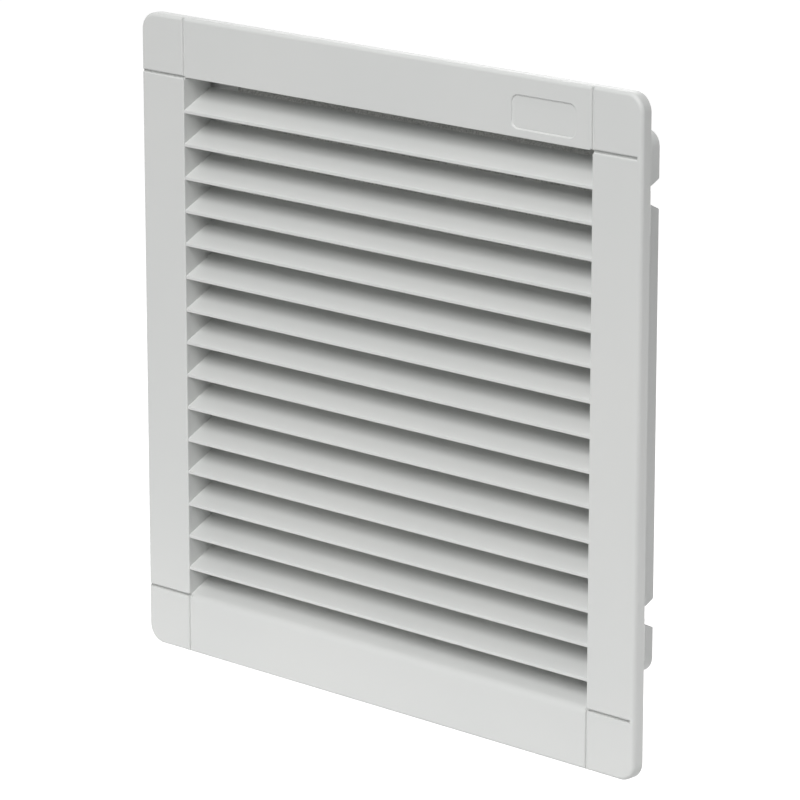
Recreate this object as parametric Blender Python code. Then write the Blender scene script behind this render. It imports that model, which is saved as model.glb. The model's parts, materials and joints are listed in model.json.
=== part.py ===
"""Screened exhaust filter for the door or wall of an electrical enclosure.

A louvred cover snaps onto a moulded rear frame that sits in a square cut-out.
Behind the cover lies a filter mat, and behind the mat's grid a wire screen in a
sheet-metal frame. Spring-finger strips bond the screen to the cut-out's edge,
and four spring-steel clips hold the frame behind the panel.

The panel's outer face is the plane y = 0. The front looks along -Y, +Z is up,
and the origin is the centre of the cut-out. All sizes are in metres.
"""

import math

import bmesh
import bpy
from mathutils import Vector

MM = 0.001

# Clearance kept between pieces that touch, and how far a cutter overshoots
GAP = 0.3 * MM
OVERSHOOT = 1.0 * MM
NEAR = 0.01 * MM

# Front cover
COVER_SIZE = 250.0 * MM
COVER_CORNER = 7.0 * MM
COVER_PROUD = 5.0 * MM
COVER_EDGE_ROUND = 2.6 * MM
COVER_WALL = 2.0 * MM
BORDER = 22.8 * MM
SILL_ROUND = 3.0 * MM
SURROUND_WALL = 2.0 * MM
SURROUND_SPACE = 3.0 * MM

# Louvre blades, which rise towards the back so that nothing is seen through
BLADE_PITCH = 12.86 * MM
BLADE_THICKNESS = 1.5 * MM
BLADE_SLOPE = 0.5
BLADE_SETBACK = 0.4 * MM
BLADE_ROW_DROP = 1.2 * MM

# Moulded grooves that mark off the four corner blocks
GROOVE_WIDTH = 1.9 * MM
GROOVE_FLOOR = 0.7 * MM
GROOVE_DEPTH = 0.9 * MM

# Bare recess for a label in the cover's top rail
LABEL_WIDTH = 30.2 * MM
LABEL_HEIGHT = 12.2 * MM
LABEL_INSET_X = 45.7 * MM
LABEL_INSET_Z = 13.6 * MM
LABEL_CORNER = 3.0 * MM
LABEL_DEPTH = 0.5 * MM

# Snap tongues behind the cover's rails, and their windows in the collar
TONGUE_INSET = 42.7 * MM
TONGUE_WIDTH = 12.0 * MM
TONGUE_WALL = 1.4 * MM
TONGUE_BACK = 6.8 * MM
BEAD_START = 3.6 * MM
BEAD_LENGTH = 2.0 * MM
BEAD_HEIGHT = 0.7 * MM
WINDOW_CLEARANCE = 1.0 * MM

# Rear frame
COVER_LAP = 13.0 * MM
CUTOUT_CLEARANCE = 1.0 * MM
FLANGE_WALL = 1.5 * MM
COLLAR_WALL = 2.0 * MM
COLLAR_DEPTH = 14.0 * MM
COLLAR_CORNER = 4.0 * MM
WEB_WALL = 1.5 * MM
CLIP_ROOM = 18.0 * MM
BOX_LEDGE = 9.4 * MM
BOX_WALL = 2.0 * MM
BOX_CORNER = 6.0 * MM
REAR_RIM = 6.8 * MM
BOX_EDGE_ROUND = 0.8 * MM
WALL_RIB_WIDTH = 2.0 * MM
WALL_RIB_HEIGHT = 1.4 * MM
WALL_RIB_SHORT = 9.0 * MM
WALL_RIB_COUNT = 3

# Filter mat and the moulded grid that it lies on
MAT_THICKNESS = 18.0 * MM
MAT_CLEARANCE = 0.5 * MM
GRID_DEPTH = 3.0 * MM
GRID_BAR = 2.4 * MM
GRID_COLUMNS = 8
GRID_ROWS = 9
SEAT_WIDTH = 5.0 * MM
SEAT_DEPTH = 6.1 * MM
SEAT_CORNER = 16.0 * MM

# Notches in the back edge of the box's side walls
NOTCH_INSET = 23.2 * MM
NOTCH_MOUTH = 11.4 * MM
NOTCH_WIDTH = 7.0 * MM
NOTCH_FLARE = 4.6 * MM

# Foam gasket behind the flange
GASKET_THICKNESS = 0.9 * MM
GASKET_WIDTH = 8.0 * MM
GASKET_INSET = 1.2 * MM

# Wire screen and its sheet-metal frame
SCREEN_THICKNESS = 0.4 * MM
SCREEN_CLEARANCE = 0.7 * MM
SHEET = 0.8 * MM
SHEET_BORDER = 10.0 * MM
SHEET_CORNER = 14.0 * MM
SHEET_RIM = 2.4 * MM
LUG_WIDTH = 6.0 * MM
LUG_REACH = 9.6 * MM

# Screws that hold the screen
SCREW_INSET = 6.5 * MM
SCREW_RADIUS = 1.4 * MM
SCREW_LENGTH = 6.0 * MM
SCREW_HEAD_RADIUS = 3.0 * MM
SCREW_HEAD_HEIGHT = 1.8 * MM
SCREW_CLEARANCE = 0.4 * MM

# Spring-finger strips round the collar
STRIP_SHEET = 0.4 * MM
FINGER_BOW = 1.7 * MM
FINGER_FRONT = 1.2 * MM
FINGER_BACK_INSET = 0.8 * MM
FINGER_PITCH = 8.6 * MM
FINGER_SLOT = 1.4 * MM
FINGER_ROOT = 1.2 * MM
SIDE_FINGERS_INSET = 4.4 * MM
SIDE_FOOT_INSET = 5.5 * MM
SIDE_FOOT_WIDTH = 8.0 * MM
LONG_STRIP_INSET = 11.0 * MM

# Spring-steel panel clips, each on a pin in two moulded ears
CLIP_WIDTH = 15.4 * MM
CLIP_SHEET = 0.6 * MM
CLIP_AXIS_INSET = 4.0 * MM
CLIP_REACH = 3.6 * MM
CLIP_GRIP = 2.6 * MM
CLIP_TAIL = 9.0 * MM
PIN_RADIUS = 1.0 * MM
PIN_HEAD_RADIUS = 1.7 * MM
PIN_HEAD_HEIGHT = 0.8 * MM
EAR_WALL = 2.2 * MM
EAR_MARGIN = 1.1 * MM
POCKET_WALL = 1.2 * MM

# Places worked out from the sizes above
COVER_HALF = COVER_SIZE / 2
OPENING_HALF = COVER_HALF - BORDER
BLADE_COUNT = round(2 * OPENING_HALF / BLADE_PITCH) - 1
LABEL_CENTRE = (COVER_HALF - LABEL_INSET_X, COVER_HALF - LABEL_INSET_Z)
TONGUE_X = OPENING_HALF - TONGUE_INSET
SURROUND_HALF = OPENING_HALF + SURROUND_WALL
COVER_FACE = -COVER_PROUD
COVER_INSIDE = COVER_FACE + COVER_WALL
COVER_BACK = -GAP
FLANGE_HALF = COVER_HALF - COVER_WALL - GAP
FLANGE_FRONT = COVER_INSIDE + GAP
FLANGE_BACK = FLANGE_FRONT + FLANGE_WALL
CUTOUT_HALF = COVER_HALF - COVER_LAP
COLLAR_HALF = CUTOUT_HALF - CUTOUT_CLEARANCE
COLLAR_INSIDE = COLLAR_HALF - COLLAR_WALL
WEB_FRONT = COLLAR_DEPTH - WEB_WALL
SURROUND_BACK = WEB_FRONT - SURROUND_SPACE
BOX_HALF_X = COLLAR_HALF - CLIP_ROOM
BOX_HALF_Z = COLLAR_HALF - BOX_LEDGE
ROOM_HALF_X = BOX_HALF_X - BOX_WALL
ROOM_HALF_Z = BOX_HALF_Z - BOX_WALL
ROOM_CORNER = BOX_CORNER - BOX_WALL
MAT_FRONT = SURROUND_BACK + MAT_CLEARANCE
MAT_BACK = MAT_FRONT + MAT_THICKNESS
GRID_FRONT = MAT_BACK + GAP
GRID_BACK = GRID_FRONT + GRID_DEPTH
SEAT_BACK = GRID_FRONT + SEAT_DEPTH
SCREEN_FRONT = SEAT_BACK + GAP
SCREEN_BACK = SCREEN_FRONT + SCREEN_THICKNESS
SHEET_FRONT = SCREEN_BACK + GAP
SHEET_BACK = SHEET_FRONT + SHEET
BOX_BACK = SHEET_BACK + REAR_RIM
NOTCH_FLOOR = SHEET_FRONT - SCREW_CLEARANCE
NOTCH_Z = BOX_HALF_Z - NOTCH_INSET
SCREW_X = ROOM_HALF_X - SCREW_INSET
SCREW_Z = ROOM_HALF_Z - SCREW_INSET
STRIP_FOOT = COLLAR_DEPTH + GAP + STRIP_SHEET / 2
STRIP_FACE = COLLAR_HALF + GAP + STRIP_SHEET / 2
LUG_FOOT = STRIP_FOOT + STRIP_SHEET / 2 + GAP + SHEET / 2
CLIP_AXIS_X = COLLAR_HALF - CLIP_AXIS_INSET
CLIP_AXIS_Y = LUG_FOOT + SHEET / 2 + GAP + CLIP_SHEET / 2
CLIP_BORE = PIN_RADIUS + GAP
CLIP_EYE = CLIP_BORE + CLIP_SHEET
POCKET_HALF = CLIP_WIDTH / 2 + GAP
FINGER_BACK = COLLAR_DEPTH - FINGER_BACK_INSET
SIDE_FINGERS_HALF = NOTCH_Z - POCKET_HALF - EAR_WALL - SIDE_FINGERS_INSET
SIDE_FOOT_HALF = BOX_HALF_Z - SIDE_FOOT_INSET
LONG_STRIP_HALF = COLLAR_HALF - LONG_STRIP_INSET
POCKET_FLOOR = CLIP_AXIS_X - CLIP_SHEET

PLACED = {
    "X": lambda a, b, level: (level, a, b),
    "Y": lambda a, b, level: (a, level, b),
    "Z": lambda a, b, level: (a, b, level),
}


def clear_scene():
    """Remove every object that the file opened with."""
    for item in list(bpy.data.objects):
        bpy.data.objects.remove(item, do_unlink=True)


def make_material(name, colour, roughness, metallic=0.0):
    """One plain Principled material."""
    material = bpy.data.materials.new(name)
    material.use_nodes = True
    shader = material.node_tree.nodes["Principled BSDF"]
    shader.inputs["Base Color"].default_value = (*colour, 1.0)
    shader.inputs["Roughness"].default_value = roughness
    shader.inputs["Metallic"].default_value = metallic
    material.diffuse_color = (*colour, 1.0)
    return material


def arc(centre, radius, start, end, steps):
    """Points on an arc in a plane, with both ends, angles in degrees."""
    points = []
    for step in range(steps + 1):
        angle = math.radians(start + (end - start) * step / steps)
        points.append((centre[0] + radius * math.cos(angle), centre[1] + radius * math.sin(angle)))
    return points


def circle(centre, radius, sides):
    """Points once round a circle."""
    return arc(centre, radius, 0.0, 360.0, sides)[:-1]


def rounded_rect(half_a, half_b, radius, steps=5, centre=(0.0, 0.0)):
    """Outline of a rectangle with round corners, counter-clockwise."""
    points = []
    turns = ((1, 1, 0.0), (-1, 1, 90.0), (-1, -1, 180.0), (1, -1, 270.0))
    for side_a, side_b, start in turns:
        corner = (
            centre[0] + side_a * (half_a - radius),
            centre[1] + side_b * (half_b - radius),
        )
        points += arc(corner, radius, start, start + 90.0, steps)
    return points


def rectangle(low_a, high_a, low_b, high_b):
    """Outline of a plain rectangle."""
    return [(low_a, low_b), (high_a, low_b), (high_a, high_b), (low_a, high_b)]


def band(path, thickness):
    """Outline of a bent sheet of even thickness along an open path."""
    left = []
    right = []
    for index, point in enumerate(path):
        before = Vector(path[max(index - 1, 0)])
        after = Vector(path[min(index + 1, len(path) - 1)])
        here = Vector(point)
        into = (here - before).normalized() if index else (after - here).normalized()
        out = (after - here).normalized() if index < len(path) - 1 else into
        normal = Vector((-(into + out).y, (into + out).x)).normalized()
        stretch = thickness / 2 / max(normal.dot(Vector((-into.y, into.x))), 0.5)
        left.append(tuple(here + normal * stretch))
        right.append(tuple(here - normal * stretch))
    return left + right[::-1]


def add_prism(bm, outline, axis, low, high):
    """Add a flat outline to a bmesh and extrude it along an axis."""
    place = PLACED[axis]
    verts = [bm.verts.new(place(a, b, low)) for a, b in outline]
    face = bm.faces.new(verts)
    grown = bmesh.ops.extrude_face_region(bm, geom=[face])["geom"]
    tops = [item for item in grown if isinstance(item, bmesh.types.BMVert)]
    shift = Vector(place(0.0, 0.0, high)) - Vector(place(0.0, 0.0, low))
    bmesh.ops.translate(bm, verts=tops, vec=shift)
    bm.normal_update()


def prism(outline, axis, low, high):
    """A bmesh that holds one extruded outline."""
    bm = bmesh.new()
    add_prism(bm, outline, axis, low, high)
    return bm


def lathe(profile, axis, steps=20):
    """Turn a profile of (radius, level) pairs once round an axis."""
    bm = bmesh.new()
    place = {
        "Y": lambda radius, level: (radius, level, 0.0),
        "Z": lambda radius, level: (radius, 0.0, level),
    }[axis]
    verts = [bm.verts.new(place(radius, level)) for radius, level in profile]
    edges = [bm.edges.new(pair) for pair in zip(verts, verts[1:])]
    direction = {"Y": (0, 1, 0), "Z": (0, 0, 1)}[axis]
    bmesh.ops.spin(
        bm, geom=verts + edges, cent=(0, 0, 0), axis=direction,
        angle=math.tau, steps=steps, use_merge=True,
    )
    bmesh.ops.remove_doubles(bm, verts=bm.verts, dist=NEAR)
    return bm


def make_object(name, bm, material):
    """Turn a bmesh into an object with outward faces and a material."""
    bmesh.ops.recalc_face_normals(bm, faces=bm.faces)
    mesh = bpy.data.meshes.new(name)
    bm.to_mesh(mesh)
    bm.free()
    mesh.materials.append(material)
    item = bpy.data.objects.new(name, mesh)
    bpy.context.scene.collection.objects.link(item)
    return item


def combine(item, tool_bm, operation):
    """Join a shape to an object, or cut it out, and drop the tool."""
    tool = make_object("tool", tool_bm, item.data.materials[0])
    step = item.modifiers.new("combine", "BOOLEAN")
    step.operation = operation
    step.solver = "EXACT"
    step.object = tool
    graph = bpy.context.evaluated_depsgraph_get()
    result = bpy.data.meshes.new_from_object(item.evaluated_get(graph))
    item.modifiers.clear()
    item.data = result
    bpy.data.objects.remove(tool, do_unlink=True)


def join(item, tool_bm):
    """Add a shape to an object."""
    combine(item, tool_bm, "UNION")


def cut(item, tool_bm):
    """Take a shape out of an object."""
    combine(item, tool_bm, "DIFFERENCE")


def smooth(item):
    """Shade round faces smooth and keep the edges between flat ones."""
    item.data.shade_smooth()
    item.data.set_sharp_from_angle(angle=math.radians(32.0))


def corners():
    """The four corner signs, with the name of each corner."""
    return (
        ("top_left", -1, 1), ("top_right", 1, 1),
        ("bottom_left", -1, -1), ("bottom_right", 1, -1),
    )


def add_blades(bm):
    """The row of blades and, below it, the sill that rises like them."""
    front = COVER_FACE + BLADE_SETBACK
    rise = BLADE_SLOPE * (SURROUND_BACK - front)
    half = OPENING_HALF + SURROUND_WALL / 2
    first = BLADE_PITCH * (BLADE_COUNT - 1) / 2 - BLADE_ROW_DROP
    bottoms = [first - BLADE_PITCH * index - BLADE_THICKNESS / 2 for index in range(BLADE_COUNT)]
    sill = -OPENING_HALF - BLADE_THICKNESS + BLADE_SETBACK / 2
    for bottom in bottoms + [sill]:
        top = bottom + BLADE_THICKNESS
        profile = [
            (front, bottom), (SURROUND_BACK, bottom + rise),
            (SURROUND_BACK, top + rise), (front, top),
        ]
        add_prism(bm, profile, "X", -half, half)


def sill_round():
    """Cutter that rounds the bottom rail's face over into the sill."""
    lean = math.degrees(math.atan(BLADE_SLOPE))
    turn = math.radians(90.0 - lean) / 2
    low = -OPENING_HALF - SILL_ROUND * math.tan(turn)
    centre = (COVER_FACE + SILL_ROUND, low)
    curve = arc(centre, SILL_ROUND, 180.0, 90.0 + lean, 4)
    above = curve[-1][1] + OVERSHOOT
    front = COVER_FACE - OVERSHOOT
    outline = curve + [(curve[-1][0], above), (front, above), (front, low)]
    return prism(outline, "X", -OPENING_HALF, OPENING_HALF)


def groove_cutters():
    """Two grooves from each corner of the opening out to the edges."""
    start = OPENING_HALF - GROOVE_WIDTH
    end = COVER_HALF + OVERSHOOT
    floor = COVER_FACE + GROOVE_DEPTH
    above = COVER_FACE - OVERSHOOT
    flare = (GROOVE_WIDTH - GROOVE_FLOOR) / 2 * (GROOVE_DEPTH + OVERSHOOT) / GROOVE_DEPTH
    mouth_half = GROOVE_FLOOR / 2 + flare
    floor_half = GROOVE_FLOOR / 2
    for side in (-1, 1):
        centre = side * OPENING_HALF
        across_x = [
            (centre - floor_half, floor), (centre + floor_half, floor),
            (centre + mouth_half, above), (centre - mouth_half, above),
        ]
        across_z = [(level, place) for place, level in across_x]
        for low, high in ((start, end), (-end, -start)):
            yield prism(across_x, "Z", low, high)
            yield prism(across_z, "X", low, high)


def tongue_profile():
    """Side view of a snap tongue, from the cover's inside to its bead."""
    outer = COLLAR_INSIDE - GAP - BEAD_HEIGHT
    inner = outer - TONGUE_WALL
    root = COVER_INSIDE - COVER_WALL / 4
    bead_end = BEAD_START + BEAD_HEIGHT + BEAD_LENGTH
    return [
        (root, inner), (root, outer), (BEAD_START, outer),
        (BEAD_START + BEAD_HEIGHT, outer + BEAD_HEIGHT),
        (bead_end - BEAD_HEIGHT, outer + BEAD_HEIGHT),
        (TONGUE_BACK, inner + TONGUE_WALL / 2), (TONGUE_BACK, inner),
    ]


def build_front_cover(material):
    """Louvred moulding: shell, surround, blades, grooves, recess, tongues."""
    shell = prism(
        rounded_rect(COVER_HALF, COVER_HALF, COVER_CORNER, 6), "Y", COVER_FACE, COVER_BACK
    )
    rim = [e for e in shell.edges if all(abs(v.co.y - COVER_FACE) < NEAR for v in e.verts)]
    bmesh.ops.bevel(
        shell, geom=rim, offset=COVER_EDGE_ROUND, segments=4, profile=0.5,
        affect="EDGES", material=-1,
    )
    cover = make_object("front_cover", shell, material)
    inside = COVER_HALF - COVER_WALL
    cut(cover, prism(
        rounded_rect(inside, inside, COVER_CORNER - COVER_WALL, 6),
        "Y", COVER_INSIDE, COVER_BACK + OVERSHOOT,
    ))
    surround = rounded_rect(SURROUND_HALF, SURROUND_HALF, SURROUND_WALL, 3)
    join(cover, prism(surround, "Y", COVER_FACE + COVER_WALL / 2, SURROUND_BACK))
    opening = rectangle(-OPENING_HALF, OPENING_HALF, -OPENING_HALF, OPENING_HALF)
    cut(cover, prism(opening, "Y", COVER_FACE - OVERSHOOT, SURROUND_BACK + OVERSHOOT))
    blades = bmesh.new()
    add_blades(blades)
    join(cover, blades)
    cut(cover, sill_round())
    for groove in groove_cutters():
        cut(cover, groove)
    label = rounded_rect(LABEL_WIDTH / 2, LABEL_HEIGHT / 2, LABEL_CORNER, 5, LABEL_CENTRE)
    cut(cover, prism(label, "Y", COVER_FACE - OVERSHOOT, COVER_FACE + LABEL_DEPTH))
    tongues = bmesh.new()
    for side_x in (-1, 1):
        for side_z in (-1, 1):
            profile = [(y, side_z * z) for y, z in tongue_profile()]
            middle = side_x * TONGUE_X
            half = TONGUE_WIDTH / 2
            add_prism(tongues, profile, "X", middle - half, middle + half)
    join(cover, tongues)
    return cover


def collar_room():
    """Inside outline of the collar, stepped in round the four clip pockets."""
    block = POCKET_HALF + POCKET_WALL
    step = POCKET_FLOOR - POCKET_WALL
    side = []
    for centre in (-NOTCH_Z, NOTCH_Z):
        side += [
            (COLLAR_INSIDE, centre - block), (step, centre - block),
            (step, centre + block), (COLLAR_INSIDE, centre + block),
        ]
    outline = rounded_rect(COLLAR_INSIDE, COLLAR_INSIDE, COLLAR_CORNER - COLLAR_WALL, 3)
    per_corner = len(outline) // 4
    left = [(-x, -z) for x, z in side]
    return outline[:2 * per_corner] + left + outline[2 * per_corner:] + side


def grid_cells():
    """One bmesh with a prism for each opening of the mat's grid."""
    half_x = ROOM_HALF_X - SEAT_WIDTH
    half_z = ROOM_HALF_Z - SEAT_WIDTH
    pitch_x = (2 * half_x + GRID_BAR) / GRID_COLUMNS
    pitch_z = (2 * half_z + GRID_BAR) / GRID_ROWS
    cells = bmesh.new()
    for column in range(GRID_COLUMNS):
        for row in range(GRID_ROWS):
            if column in (0, GRID_COLUMNS - 1) and row in (0, GRID_ROWS - 1):
                continue
            low_x = -half_x + pitch_x * column
            low_z = -half_z + pitch_z * row
            high_x = low_x + pitch_x - GRID_BAR
            cell = rectangle(low_x, high_x, low_z, low_z + pitch_z - GRID_BAR)
            add_prism(cells, cell, "Y", GRID_FRONT - OVERSHOOT, GRID_BACK + OVERSHOOT)
    return cells


def notch_outline(centre):
    """Outline of a notch in (y, z): straight at its floor, flared at its mouth."""
    neck = BOX_BACK - NOTCH_FLARE
    slope = (NOTCH_MOUTH - NOTCH_WIDTH) / 2 / NOTCH_FLARE
    mouth = NOTCH_MOUTH / 2 + slope * OVERSHOOT
    narrow = NOTCH_WIDTH / 2
    end = BOX_BACK + OVERSHOOT
    return [
        (NOTCH_FLOOR, centre - narrow), (neck, centre - narrow), (end, centre - mouth),
        (end, centre + mouth), (neck, centre + narrow), (NOTCH_FLOOR, centre + narrow),
    ]


def add_ears(bm):
    """A pair of round-topped ears on the web's back for each clip's pin."""
    radius = CLIP_BORE + EAR_MARGIN
    for side in (-1, 1):
        axis = (side * CLIP_AXIS_X, CLIP_AXIS_Y)
        root = COLLAR_DEPTH - WEB_WALL / 2
        outline = arc(axis, radius, 0.0, 180.0, 8)
        outline += [(axis[0] - radius, root), (axis[0] + radius, root)]
        for middle in (-NOTCH_Z, NOTCH_Z):
            for low in (middle + POCKET_HALF, middle - POCKET_HALF - EAR_WALL):
                add_prism(bm, outline, "Z", low, low + EAR_WALL)


def add_wall_ribs(bm):
    """Low ribs on the outside of the box's side walls."""
    low = COLLAR_DEPTH - WEB_WALL / 2
    for side in (-1, 1):
        inner = BOX_HALF_X - BOX_WALL / 2
        ends = sorted((side * inner, side * (BOX_HALF_X + WALL_RIB_HEIGHT)))
        half = WALL_RIB_WIDTH / 2
        for index in range(1, WALL_RIB_COUNT + 1):
            middle = NOTCH_Z * (2 * index / (WALL_RIB_COUNT + 1) - 1)
            outline = rectangle(ends[0], ends[1], middle - half, middle + half)
            add_prism(bm, outline, "Y", low, BOX_BACK - WALL_RIB_SHORT)


def cut_collar(frame):
    """Hollow the collar, open the clip pockets and the snap windows."""
    cut(frame, prism(collar_room(), "Y", FLANGE_FRONT - OVERSHOOT, WEB_FRONT))
    pockets = bmesh.new()
    for side in (-1, 1):
        ends = sorted((side * POCKET_FLOOR, side * (COLLAR_HALF + OVERSHOOT)))
        for middle in (-NOTCH_Z, NOTCH_Z):
            outline = rectangle(ends[0], ends[1], middle - POCKET_HALF, middle + POCKET_HALF)
            add_prism(pockets, outline, "Y", FLANGE_BACK, COLLAR_DEPTH + OVERSHOOT)
    cut(frame, pockets)
    windows = bmesh.new()
    half = TONGUE_WIDTH / 2 + WINDOW_CLEARANCE
    low = BEAD_START - WINDOW_CLEARANCE / 2
    high = TONGUE_BACK + WINDOW_CLEARANCE / 2
    for side_x in (-1, 1):
        for side_z in (-1, 1):
            inner = COLLAR_INSIDE - OVERSHOOT
            ends = sorted((side_z * inner, side_z * (COLLAR_HALF + OVERSHOOT)))
            middle = side_x * TONGUE_X
            outline = rectangle(low, high, ends[0], ends[1])
            add_prism(windows, outline, "X", middle - half, middle + half)
    cut(frame, windows)


def cut_box(frame):
    """Hollow the box on both sides of the mat's grid and cut the grid."""
    room = rounded_rect(ROOM_HALF_X, ROOM_HALF_Z, ROOM_CORNER, 4)
    cut(frame, prism(room, "Y", WEB_FRONT - OVERSHOOT, GRID_FRONT))
    cut(frame, prism(room, "Y", SEAT_BACK, BOX_BACK + OVERSHOOT))
    seat = rounded_rect(ROOM_HALF_X - SEAT_WIDTH, ROOM_HALF_Z - SEAT_WIDTH, SEAT_CORNER, 6)
    cut(frame, prism(seat, "Y", GRID_BACK, SEAT_BACK + OVERSHOOT))
    cut(frame, grid_cells())
    notches = bmesh.new()
    for side in (-1, 1):
        ends = sorted((side * (ROOM_HALF_X - OVERSHOOT), side * (BOX_HALF_X + OVERSHOOT)))
        for middle in (-NOTCH_Z, NOTCH_Z):
            add_prism(notches, notch_outline(middle), "X", ends[0], ends[1])
    cut(frame, notches)


def cut_holes(frame):
    """Bores for the clip pins and blind holes for the screws."""
    holes = bmesh.new()
    reach = POCKET_HALF + EAR_WALL + OVERSHOOT
    for _, side_x, side_z in corners():
        bore = circle((side_x * CLIP_AXIS_X, CLIP_AXIS_Y), CLIP_BORE, 16)
        middle = side_z * NOTCH_Z
        add_prism(holes, bore, "Z", middle - reach, middle + reach)
        pilot = circle((side_x * SCREW_X, side_z * SCREW_Z), SCREW_RADIUS + GAP, 14)
        floor = SHEET_BACK + GAP - SCREW_LENGTH - SCREW_CLEARANCE
        add_prism(holes, pilot, "Y", floor, SEAT_BACK + OVERSHOOT)
    cut(frame, holes)


def build_rear_frame(material):
    """Moulded frame: flange, collar, web, box, grid, pockets and ears."""
    flange = rounded_rect(FLANGE_HALF, FLANGE_HALF, COVER_CORNER - COVER_WALL, 6)
    frame = make_object("rear_frame", prism(flange, "Y", FLANGE_FRONT, FLANGE_BACK), material)
    collar = rounded_rect(COLLAR_HALF, COLLAR_HALF, COLLAR_CORNER, 4)
    join(frame, prism(collar, "Y", FLANGE_FRONT + FLANGE_WALL / 2, COLLAR_DEPTH))
    box = prism(
        rounded_rect(BOX_HALF_X, BOX_HALF_Z, BOX_CORNER, 6),
        "Y", COLLAR_DEPTH - WEB_WALL / 2, BOX_BACK,
    )
    rim = [e for e in box.edges if all(abs(v.co.y - BOX_BACK) < NEAR for v in e.verts)]
    bmesh.ops.bevel(
        box, geom=rim, offset=BOX_EDGE_ROUND, segments=2, profile=0.5,
        affect="EDGES", material=-1,
    )
    join(frame, box)
    cut_collar(frame)
    cut_box(frame)
    additions = bmesh.new()
    add_ears(additions)
    add_wall_ribs(additions)
    join(frame, additions)
    cut_holes(frame)
    return frame


def build_filter_mat(material):
    """Plain block of fibre mat that fills the box in front of the grid."""
    outline = rounded_rect(
        ROOM_HALF_X - MAT_CLEARANCE, ROOM_HALF_Z - MAT_CLEARANCE, ROOM_CORNER, 3
    )
    return make_object("filter_mat", prism(outline, "Y", MAT_FRONT, MAT_BACK), material)


def build_panel_gasket(material):
    """Foam ring on the flange's back that seals against the panel."""
    outer = FLANGE_HALF - GASKET_INSET
    inner = outer - GASKET_WIDTH
    outline = rounded_rect(outer, outer, COVER_CORNER - COVER_WALL, 4)
    gasket = make_object("panel_gasket", prism(outline, "Y", -GASKET_THICKNESS, 0.0), material)
    hole = rounded_rect(inner, inner, COLLAR_CORNER, 4)
    cut(gasket, prism(hole, "Y", -GASKET_THICKNESS - OVERSHOOT, OVERSHOOT))
    return gasket


def screw_holes(low, high):
    """Clearance holes for the four screws."""
    holes = bmesh.new()
    for _, side_x, side_z in corners():
        hole = circle((side_x * SCREW_X, side_z * SCREW_Z), SCREW_RADIUS + SCREW_CLEARANCE, 14)
        add_prism(holes, hole, "Y", low - OVERSHOOT, high + OVERSHOOT)
    return holes


def build_shield_mesh(material):
    """Panel of fine wire cloth, as the closed sheet that the wires fill."""
    outline = rounded_rect(
        ROOM_HALF_X - SCREEN_CLEARANCE, ROOM_HALF_Z - SCREEN_CLEARANCE, ROOM_CORNER, 3
    )
    screen = make_object("shield_mesh", prism(outline, "Y", SCREEN_FRONT, SCREEN_BACK), material)
    cut(screen, screw_holes(SCREEN_FRONT, SCREEN_BACK))
    return screen


def build_shield_frame(material):
    """Pressed sheet frame with a turned rim and four bonding lugs."""
    half_x = ROOM_HALF_X - SCREEN_CLEARANCE
    half_z = ROOM_HALF_Z - SCREEN_CLEARANCE
    plate = rounded_rect(half_x, half_z, ROOM_CORNER, 3)
    frame = make_object("shield_frame", prism(plate, "Y", SHEET_FRONT, SHEET_BACK), material)
    inner_x = half_x - SHEET_BORDER
    inner_z = half_z - SHEET_BORDER
    rim = rounded_rect(inner_x + SHEET, inner_z + SHEET, SHEET_CORNER + SHEET, 5)
    join(frame, prism(rim, "Y", SHEET_FRONT + SHEET / 2, SHEET_BACK + SHEET_RIM))
    hole = rounded_rect(inner_x, inner_z, SHEET_CORNER, 5)
    cut(frame, prism(hole, "Y", SHEET_FRONT - OVERSHOOT, SHEET_BACK + SHEET_RIM + OVERSHOOT))
    lugs = bmesh.new()
    level = (SHEET_FRONT + SHEET_BACK) / 2
    wall = BOX_HALF_X + GAP + SHEET / 2
    path = [(half_x - SHEET, level), (wall, level), (wall, LUG_FOOT), (wall + LUG_REACH, LUG_FOOT)]
    for _, side_x, side_z in corners():
        outline = [(side_x * x, y) for x, y in band(path, SHEET * 0.9)]
        middle = side_z * NOTCH_Z
        add_prism(lugs, outline, "Z", middle - LUG_WIDTH / 2, middle + LUG_WIDTH / 2)
    join(frame, lugs)
    cut(frame, screw_holes(SHEET_FRONT, SHEET_BACK))
    return frame


def build_screw(name, side_x, side_z, material):
    """Pan-head screw, its head's seat at the object's origin."""
    head = SCREW_HEAD_RADIUS
    top = SCREW_HEAD_HEIGHT
    profile = [
        (0.0, -SCREW_LENGTH), (SCREW_RADIUS * 0.6, -SCREW_LENGTH),
        (SCREW_RADIUS, -SCREW_LENGTH + SCREW_RADIUS), (SCREW_RADIUS, 0.0), (head, 0.0),
        (head, top * 0.4), (head * 0.9, top * 0.75), (head * 0.6, top), (0.0, top),
    ]
    screw = make_object(name, lathe(profile, "Y", 16), material)
    slot_half = SCREW_RADIUS * 0.25
    floor = top * 0.45
    for a, b in ((head * 0.6, slot_half), (slot_half, head * 0.6)):
        cross = prism(rectangle(-a, a, -b, b), "Y", floor, top + OVERSHOOT)
        cut(screw, cross)
    screw.location = (side_x * SCREW_X, SHEET_BACK + GAP, side_z * SCREW_Z)
    return screw


def strip_body(inner_end, half, name, material):
    """Bent strip on the +X side, its foot on the web and bowed outwards."""
    steps = 6
    path = [(inner_end, STRIP_FOOT), (STRIP_FACE, STRIP_FOOT)]
    for step in range(steps + 1):
        share = step / steps
        bow = FINGER_BOW * math.sin(math.pi * share)
        path.append((STRIP_FACE + bow, FINGER_BACK + (FINGER_FRONT - FINGER_BACK) * share))
    return make_object(name, prism(band(path, STRIP_SHEET), "Z", -half, half), material)


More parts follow.
